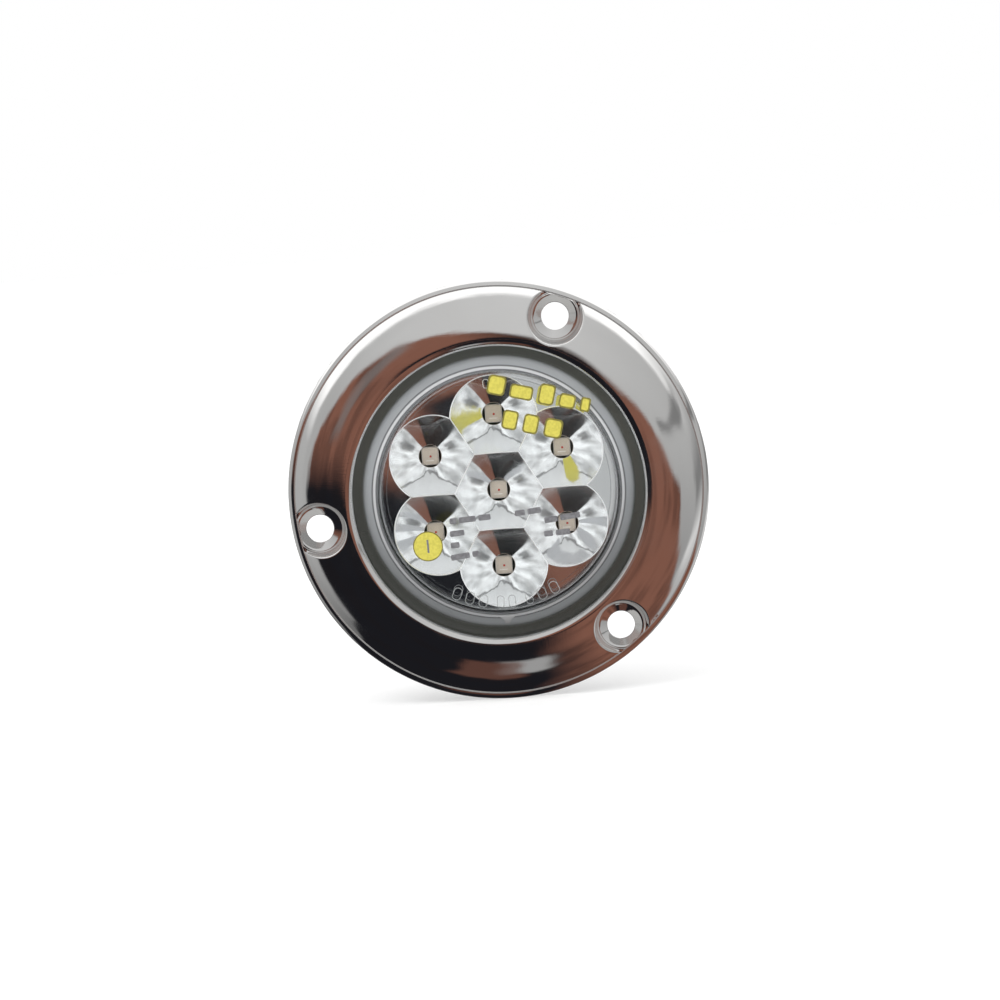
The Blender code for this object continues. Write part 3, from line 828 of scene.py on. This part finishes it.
def make_film(clear, yellow, olive, grey):
    """The clear protective film with its printed blocks."""
    foot = LENS_FACE + FILM_GAP
    outline = [(0.0, foot + FILM_T), (FILM_R, foot + FILM_T), (FILM_R, foot), (0.0, foot)]
    film = lathe("film_sheet", rounded(outline, 0.04))
    film.data.materials.append(clear)
    top, low = foot + 0.14, foot + 0.125

    def print_blocks(name, blocks, ink, grow, lift):
        """One printed piece from blocks (x, z, width, height, degrees)."""
        bm = bmesh.new()
        for x, z, width, height, turn in blocks:
            wide, tall = width + grow, height + grow
            corner = min(wide, tall) * PRINT_CORNER
            shape = round_rect(wide, tall, corner, (x, z), math.radians(turn))
            part = slab(name, shape, top + lift, low + lift)
            bm.from_mesh(part.data)
            bpy.data.objects.remove(part, do_unlink=True)
        joined = make_object(name, bm)
        joined.data.materials.append(ink)
        return joined

    big = []
    turn = math.radians(PRINT_TURN)
    along = Vector((math.cos(turn), math.sin(turn)))
    start = Vector((0.9, 19.3))
    for offset, wide, tall in ((0.0, 3.3, 3.6), (4.5, 4.2, 2.6), (9.2, 2.9, 3.8),
                               (12.9, 3.0, 2.6), (16.2, 1.8, 2.6)):
        p = start + along * offset
        big.append((p.x, p.y - (LARGE_BLOCK - tall) * 0.4, wide, tall, PRINT_TURN))
    start = Vector((2.9, 12.9))
    for offset, wide in ((0.0, 2.8), (3.8, 2.8), (7.9, 3.3)):
        p = start + along * offset
        big.append((p.x, p.y, wide, 3.5, PRINT_TURN))
    small = []
    for x, z, bars, degrees in (
        (-9.2, -4.6, (1.2, 3.0, 2.2), 3), (2.6, -4.0, (1.8, 2.4), 5),
        (7.8, -5.6, (2.4, 3.6), 6), (-9.3, -6.9, (2.6,), 4), (7.6, -8.0, (1.6, 2.6), 2),
        (-9.3, -9.0, (1.6,), 4), (-9.4, -11.2, (3.4, 1.2), 6),
    ):
        shift = 0.0
        a = math.radians(degrees)
        for wide in bars:
            cx = x + (shift + wide / 2) * math.cos(a)
            cz = z + (shift + wide / 2) * math.sin(a)
            small.append((cx, cz, wide, 1.05, degrees))
            shift += wide + 0.5
    disc = (-13.4, -8.8)
    parts = [film]
    for name, blocks, ink, grow, lift in (
        ("film_print_edges", big, olive, 0.0, 0.0),
        ("film_print_faces", big, yellow, -0.6, 0.03),
        ("film_print_small", small, grey, 0.0, 0.0),
        ("film_dot_bar", [(*disc, 0.35, 2.4, 2)], grey, 0.0, 0.04),
    ):
        parts.append(print_blocks(name, blocks, ink, grow, lift))
    for name, radius, ink, lift in (
        ("film_dot_edge", 2.7, olive, 0.0), ("film_dot", 2.5, yellow, 0.02),
    ):
        outline = [(0.0, top + lift), (radius, top + lift), (radius, low + lift), (0.0, low + lift)]
        dot = lathe(name, outline, 64, disc)
        dot.data.materials.append(ink)
        parts.append(dot)
    return parts


def make_led(number, package, window, die):
    """A surface-mount light emitter with a recessed window, a die, and a light strip below them
    that is a painted highlight.
    """
    low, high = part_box(f"led_{number}")
    cx, cz = LED_CENTRES[number - 1]
    wide, tall = (high.x - low.x) / MM, (high.z - low.z) / MM
    top = (PANEL_Y - low.y) / MM
    foot = (PANEL_Y - high.y) / MM
    body = slab(f"led_package_{number}", round_rect(wide, tall, 0.35, (cx, cz)), top - 0.12,
                foot, 0.1)
    body.data.materials.append(package)
    pane = slab(f"led_window_{number}", round_rect(wide - 0.25, tall - 0.25, 0.45, (cx, cz)),
                top, top - 0.16, 0.06)
    pane.data.materials.append(window)
    # painted highlight: a light strip along the window's lower edge stands in for the shine on the
    # encapsulant
    strip = slab(f"led_painted_highlight_{number}", round_rect(1.5, 0.22, 0.1, (cx - 0.1, cz - 0.85)),
                 top + 0.02, top - 0.04)
    strip.data.materials.append(package)
    chip = slab(f"led_die_{number}", round_rect(0.36, 0.36, 0.05, (cx + 0.05, cz - 0.1)),
                top + 0.03, top - 0.04)
    chip.data.materials.append(die)
    return body, pane, strip, chip


# ---------------------------------------------------------------------------
# gasket, housing and contacts
# ---------------------------------------------------------------------------
def make_gasket(rubber):
    outline = [(GASKET_OUT_R, 0.0), (GASKET_OUT_R, GASKET_T),
               (GASKET_IN_R, GASKET_T), (GASKET_IN_R, 0.0)]
    gasket = lathe("gasket_ring", rounded(outline, 0.25))
    gasket.data.materials.append(rubber)
    return gasket


def oblong(half, radius, steps=24):
    """A stadium outline along x: two straight sides and two round ends."""
    points = []
    for side, start in ((1, -90), (-1, 90)):
        for k in range(steps + 1):
            a = math.radians(start + 180 * k / steps)
            points.append((side * half + radius * math.cos(a), radius * math.sin(a)))
    return points


def make_housing(plastic):
    """The black barrel with its oblong plug socket."""
    low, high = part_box("contact_pin_right")
    pin_x = (low.x + high.x) / 2 / MM
    groove = FLOOR_OUT + 0.25
    outline = [
        (22.6, 1.68), (LAMP_FLANGE_R, 1.68), (LAMP_FLANGE_R, 0.95), (BARREL_R, 0.95),
        (BARREL_END_R, -13.1), (23.1, FLOOR_OUT),
        (20.2, FLOOR_OUT), (20.0, groove), (19.2, groove), (19.0, FLOOR_OUT), (0.0, FLOOR_OUT),
        (0.0, FLOOR_IN), (21.4, FLOOR_IN), (21.4, -4.6), (22.6, -4.6),
    ]
    housing = lathe("housing_barrel", rounded(outline, 0.3), 180)
    boss = slab("boss", oblong(pin_x, BOSS_R), -13.0, BOSS_END, 0.45, 3)
    cut(housing, [boss], "UNION")
    tools = [slab("socket", oblong(pin_x, SOCKET_R), SOCKET_FLOOR, TOOL_END)]
    ejector = [(0.0, -13.88), (1.5, -13.88), (1.5, -15.0), (0.0, -15.0)]
    for spot in circle((0.0, 0.0), 15.5, [math.radians(a) for a in (45, 135, 225, 315)]):
        tools.append(lathe("ejector_mark", ejector, 48, spot))
    key = [(-1.2, 3.0), (1.2, 3.0), (1.2, 6.6), (-1.2, 6.6)]
    tools.append(slab("key", key, -16.4, TOOL_END))
    bore = [(0.0, -11.0), (2.3, -11.0), (2.3, -15.4), (0.0, -15.4)]
    for side in (-1, 1):
        tools.append(lathe("bore", bore, 48, (side * pin_x, 0.0)))
    cut(housing, tools)
    housing.data.materials.append(plastic)
    return housing


def make_pin(side, brass):
    """A round contact pin with its tail and collar."""
    low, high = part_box(f"contact_pin_{side}")
    centre = ((low.x + high.x) / 2 / MM, 0.0)
    front, tip = (PANEL_Y - low.y) / MM, (PANEL_Y - high.y) / MM
    outline = [
        (0.0, front), (0.7, front), (0.7, -9.2), (2.9, -9.2), (2.9, -10.0), (2.0, -10.0),
        (2.0, tip + 1.6), (1.8, tip + 0.6), (1.1, tip), (0.0, tip),
    ]
    pin = lathe(f"pin_{side}", rounded(outline, 0.2), 64, centre)
    pin.data.materials.append(brass)
    return pin


# ---------------------------------------------------------------------------
# surroundings
# ---------------------------------------------------------------------------
def make_world():
    """White backdrop for the eye; reflections see a softly lit room.

    Directions are read as an angle away from the camera's own reflection and
    a clock angle round it, both in degrees.  The room is pale above, a dark
    floor lies below, and warm brown furniture stands at both sides.
    """
    world = bpy.data.worlds.new("studio")
    bpy.context.scene.world = world
    world.use_nodes = True
    world.node_tree.nodes.clear()
    n = Nodes(world.node_tree)
    direction = n.new("ShaderNodeTexCoord").outputs["Generated"]
    turned = n.stretch(direction, (1, 1, 1), (-ELEVATION, 0, 0))
    wave = n.noise(direction, 1.6, 1.0)
    ripple = n.noise(direction, 5.0, 2.0)
    parts = n.new("ShaderNodeSeparateXYZ")
    n.link(turned, parts.inputs[0])
    x, y, z = parts.outputs
    clock = n.math("DEGREES", n.math("ARCTAN2", z, x))
    clock = n.math("ADD", clock, math.degrees(ROLL))
    clock = n.math("ADD", clock, n.math("MULTIPLY", n.math("SUBTRACT", wave, 0.5), 22))
    clock = n.math("WRAP", clock, 360.0, 0.0)
    away = n.math("DEGREES", n.math("ARCCOSINE", n.math("MULTIPLY", y, -1.0)))
    away = n.math("ADD", away, n.math("MULTIPLY", n.math("SUBTRACT", ripple, 0.5), 14))
    hour = n.math("DIVIDE", clock, 360.0)

    def near(centre, half, soft):
        """1 inside a sector of the clock, fading over soft degrees."""
        gap = n.math("WRAP", n.math("SUBTRACT", clock, centre), 180.0, -180.0)
        return n.math("SUBTRACT", 1.0, n.smooth(n.math("ABSOLUTE", gap), half, half + soft))

    def band(low, high, soft):
        """1 between two angles away, fading over soft degrees."""
        rise = n.smooth(away, low - soft, low)
        fall = n.math("SUBTRACT", 1.0, n.smooth(away, high, high + soft))
        return n.math("MULTIPLY", rise, fall)

    def grey(v):
        return (v, v, v)

    brown, dusk, dark = (0.225, 0.10, 0.07), (0.05, 0.028, 0.023), (0.011, 0.011, 0.014)
    horizon = n.ramp(hour, [(a / 360, grey(v / 180)) for a, v in (
        (0, 58), (20, 34), (45, 16), (88, 22), (108, 34), (125, 55), (150, 70), (172, 84),
        (208, 88), (224, 90), (236, 128), (300, 140), (318, 112), (332, 84), (348, 68), (360, 58),
    )])
    inside = n.ramp(hour, [(a / 360, c) for a, c in (
        (0, brown), (30, brown), (55, dusk), (85, dusk), (104, brown), (166, brown), (180, dark),
        (284, dark), (300, brown), (360, brown),
    )])
    outside = n.ramp(hour, [(a / 360, grey(v)) for a, v in (
        (0, 0.40), (40, 0.50), (80, 0.60), (120, 0.56), (160, 0.42), (200, 0.40), (222, 0.26),
        (250, 0.10), (300, 0.10), (330, 0.30), (360, 0.40),
    )])
    far = n.ramp(hour, [(a / 360, grey(v)) for a, v in (
        (0, 0.22), (20, 0.5), (38, 1.15), (150, 1.15), (170, 0.45), (205, 0.4), (228, 0.16),
        (300, 0.16), (328, 0.5), (340, 0.7), (355, 0.22), (360, 0.22),
    )])
    sky = n.mix(n.smooth(away, 92, 102), outside, far)
    folds = n.smooth(n.noise(n.stretch(direction, (4, 4, 3), (0, 0.7, 0)), 1.0, 4.0), 0.38, 0.54)
    inside = n.mix(folds, n.mix(0.38, inside, (0.012, 0.010, 0.011)), inside)
    split = n.math("MULTIPLY", horizon, 180.0)
    room = n.mix(n.smooth(n.math("SUBTRACT", away, split), -4.0, 4.0), inside, sky)
    for sector, zone, strength, colour in (
        ((92, 32, 14), (-40, 13, 4), 1.0, dark),                     # the camera's own place
        ((279, 5, 5), (45, 66, 6), 1.0, grey(0.34)),                 # a small lamp, low down
        ((268, 7, 4), (46, 74, 6), 0.8, (0.13, 0.06, 0.045)),        # its warm surround
        ((142, 14, 8), (43, 50, 8), 0.6, grey(0.19)),                # haze at the upper left
        ((24, 0.8, 2.5), (50, 100, 12), 0.7, grey(0.1)),             # a dark seam at the right
    ):
        patch = n.math("MULTIPLY", near(*sector), band(*zone))
        room = n.mix(n.math("MULTIPLY", patch, strength), room, colour)

    paths = n.new("ShaderNodeLightPath")
    through_lens = n.smooth(paths.outputs["Transparent Depth"], 1.2, 1.8)
    mirrored = n.math("MAXIMUM", paths.outputs["Is Glossy Ray"],
                      paths.outputs["Is Transmission Ray"])
    fresh = n.math("LESS_THAN", paths.outputs["Diffuse Depth"], 0.5)
    mirrored = n.math("MULTIPLY", mirrored, fresh)
    bounced = n.smooth(paths.outputs["Glossy Depth"], 1.2, 1.8)
    room = n.mix(n.math("MULTIPLY", bounced, 0.6), room, grey(0.5))
    streak = n.noise(n.stretch(turned, (4, 4, 4)), 1.0, 1.5)
    glow = n.ramp(streak, [(0.32, grey(0.55)), (0.48, grey(0.92)), (0.62, grey(1.2))])
    across = n.math("SUBTRACT", clock, 90.0)
    arch = n.math("ADD", 49.0, n.math("MULTIPLY", n.math("MULTIPLY", across, across), 0.0115))
    beyond = n.math("SUBTRACT", away, arch)
    panel = n.smooth(beyond, -0.8, 0.8)
    glow = n.mix(panel, glow, n.mix(n.smooth(away, 50, 80), grey(0.72), grey(0.98)))
    line = n.smooth(n.math("ABSOLUTE", beyond), 0.6, 2.2)
    glow = n.mix(n.math("MULTIPLY", n.math("SUBTRACT", 1.0, line), 0.75), glow, grey(0.12))
    for centre in (334, 212):
        blob = n.math("MULTIPLY", near(centre, 4, 10), band(54, 60, 6))
        glow = n.mix(n.math("MULTIPLY", blob, 0.8), glow, grey(0.13))
    glow = n.mix(near(296, 11, 4), glow, brown)
    glow = n.mix(near(259, 25, 5), glow, grey(0.012))
    gathered = n.math("MULTIPLY", through_lens, n.smooth(away, 27, 31))
    room = n.mix(gathered, room, glow)
    side = n.math("MULTIPLY", near(36, 52, 8), band(3, 31, 3))
    room = n.mix(n.math("MULTIPLY", side, through_lens), room, grey(0.55))
    background = n.new("ShaderNodeBackground")
    n.link(n.mix(mirrored, (1.0, 1.0, 1.0), room), background.inputs["Color"])
    output = n.new("ShaderNodeOutputWorld")
    n.link(background.outputs[0], output.inputs[0])


def make_floor(height):
    """A wide pale floor that the lamp stands on; polished parts don't mirror it."""
    bm = bmesh.new()
    bmesh.ops.create_grid(bm, x_segments=2, y_segments=2, size=3.0)
    floor = make_object("floor", bm)
    floor.location.z = height
    material, _, shader, _ = new_material("pale_floor")
    shader.inputs["Base Color"].default_value = (0.95, 0.95, 0.95, 1)
    shader.inputs["Roughness"].default_value = 1.0
    shader.inputs["Specular IOR Level"].default_value = 0.0
    add_glow(material, (1.0, 1.0, 1.0), 0.08)
    floor.data.materials.append(material)
    floor.visible_glossy = False
    floor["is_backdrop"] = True


def make_light(name, place, size, power):
    """A soft round light that shines at the origin and isn't mirrored."""
    data = bpy.data.lights.new(name, "AREA")
    data.shape = "DISK"
    data.size = size
    data.energy = power
    light = bpy.data.objects.new(name, data)
    light.location = place
    light.rotation_euler = (-Vector(place)).to_track_quat("-Z", "Y").to_euler()
    light.visible_glossy = False
    light.visible_camera = False
    bpy.context.scene.collection.objects.link(light)


def make_camera():
    """A long lens looking slightly down at the lamp, turned by ROLL."""
    back = Vector((0, -math.cos(ELEVATION), math.sin(ELEVATION)))
    right = Vector((1, 0, 0))
    up = back.cross(right)
    turn = Matrix.Rotation(-ROLL, 4, back)
    target = at(0, 0.8, 0) - up * 1.83 * MM + right * 0.1 * MM
    data = bpy.data.cameras.new("view")
    data.lens = 150
    data.clip_start, data.clip_end = 0.01, 20
    camera = bpy.data.objects.new("view", data)
    pose = Matrix((right, up, back)).transposed().to_4x4()
    camera.matrix_world = Matrix.Translation(target + back * DISTANCE) @ turn @ pose
    bpy.context.scene.collection.objects.link(camera)
    bpy.context.scene.camera = camera


# ---------------------------------------------------------------------------
# build
# ---------------------------------------------------------------------------
steel = make_steel()
mirror = make_mirror()
rubber = speckled("gasket_rubber", (0.025, 0.025, 0.027), 0.75, 0.1, 900)
plastic = speckled("black_plastic", (0.018, 0.018, 0.02), 0.42, 0.15, 1500)
laminate = speckled("board_laminate", (0.03, 0.05, 0.035), 0.4, 0.15, 700)
component = speckled("component_black", (0.02, 0.02, 0.022), 0.45, 0.15, 1200)
ceramic = speckled("capacitor_ceramic", (0.30, 0.20, 0.12), 0.5, 0.1, 1200)
resin = speckled("potting_resin", (0.05, 0.045, 0.04), 0.3, 0.15, 300)
brass = speckled("contact_brass", (0.72, 0.52, 0.22), 0.25, 0.15, 800, metallic=1.0, tone=0.08)
package = speckled("led_package_tan", (0.62, 0.58, 0.53), 0.5, 0.1, 1500)
window = speckled("led_window_tan", (0.50, 0.425, 0.355), 0.3, 0.1, 1500, tone=0.08)
# painted light: a faint glow brightens the emitters, which sit in shade at the bottom of their cups
for finish in (package, window):
    add_glow(finish, (0.62, 0.56, 0.50), 0.06)
die = speckled("led_die_red", (0.42, 0.03, 0.02), 0.3, 0.1, 1500)
# On the clear lens these body colours are painted light: pale is a painted reflection of the bright
# room in the drum, white a painted highlight ring, line the painted dark edges on either side of
# it, and olive painted shade on the flange under the steel lip.
pale, olive = (0.52, 0.54, 0.56), (0.09, 0.095, 0.085)
line, white = (0.06, 0.06, 0.065), (0.85, 0.86, 0.88)
clear = make_clear(
    "clear_lens",
    [(0, pale), (21.95, pale), (22.1, line), (22.3, white), (22.6, white), (22.8, line),
     (23.0, pale), (24.2, pale), (24.6, olive), (27.9, olive)],
    [(0, 0.0), (21.6, 0.0), (21.95, 0.3), (22.1, 0.8), (22.4, 0.6), (22.8, 0.8), (23.1, 0.75),
     (24.4, 0.85), (27.9, 0.85)],
)
sheet = make_clear("clear_film", [(0, pale), (27, pale)], [(0, 0.0), (21.0, 0.0), (21.3, 0.3)])
# the near-white of the moulded marks and gate mark is a painted highlight on real moulded shapes
moulded = make_clear("moulded_marks", [(0, (0.9, 0.9, 0.9)), (27, (0.9, 0.9, 0.9))],
                     [(0, 0.55), (27, 0.55)])
straw = (0.52, 0.47, 0.10)
yellow = make_ink("yellow_ink", (0.68, 0.61, 0.10), (0.58, 0.52, 0.08), straw)
olive_ink = make_ink("olive_ink", (0.26, 0.23, 0.05), (0.18, 0.16, 0.03), straw)
grey_ink = make_ink("grey_ink", (0.22, 0.22, 0.23), (0.15, 0.15, 0.16), (0.42, 0.42, 0.43))


def fit(obj, slot, *stands_for, body="lamp"):
    """Mount a piece on its body and hide the parts it stands for."""
    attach(obj, body)
    if stands_for:
        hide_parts(*stands_for)


fit(make_bezel(steel), "polished_stainless", "bezel", body="bezel")
fit(make_gasket(rubber), "gasket_rubber", "gasket", body="gasket")
lens, gate, marks = make_lens(clear, moulded)
fit(lens, "clear_lens", "lens")
fit(gate, "clear_lens")
fit(marks, "clear_lens")
cups, ridges = make_reflector(mirror)
fit(cups, "metallised_plastic", "reflector")
fit(ridges, "metallised_plastic")
fit(make_housing(plastic), "black_plastic", "housing")
for number in range(1, 8):
    body, pane, strip, chip = make_led(number, package, window, die)
    fit(body, "led_package", f"led_{number}")
    for part in (pane, strip, chip):
        fit(part, "led_package")
for side in ("left", "right"):
    fit(make_pin(side, brass), "contact_brass", f"contact_pin_{side}")

film, *prints = make_film(sheet, yellow, olive_ink, grey_ink)
fit(film, "printed_film", "protective_film", body="film")
for part in prints:
    fit(part, "printed_film", body="film")

for node, finish, slot in (
    ("circuit_board", laminate, "board_laminate"),
    ("pin_seal", resin, "potting_resin"),
    ("resistor_1", component, "component_black"),
    ("resistor_2", component, "component_black"),
    ("resistor_3", component, "component_black"),
    ("reverse_polarity_diode", component, "component_black"),
    ("surge_suppressor", component, "component_black"),
    ("filter_capacitor", ceramic, "capacitor_ceramic"),
):
    obj = frame["nodes"][node]
    obj.data.materials.clear()
    obj.data.materials.append(finish)

make_world()
make_floor(cad_low.z)
make_light("key", (-0.35, -0.5, 0.6), 0.5, 1.6)
make_light("fill", (0.5, 0.4, 0.5), 0.6, 1.2)
make_camera()
scene = bpy.context.scene
scene.view_settings.view_transform = "Standard"
scene.cycles.transparent_max_bounces = 40
scene.cycles.glossy_bounces = 10
scene.cycles.caustics_reflective = True
scene.cycles.sample_clamp_indirect = 4.0
scene.cycles.caustics_refractive = False

low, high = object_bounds()
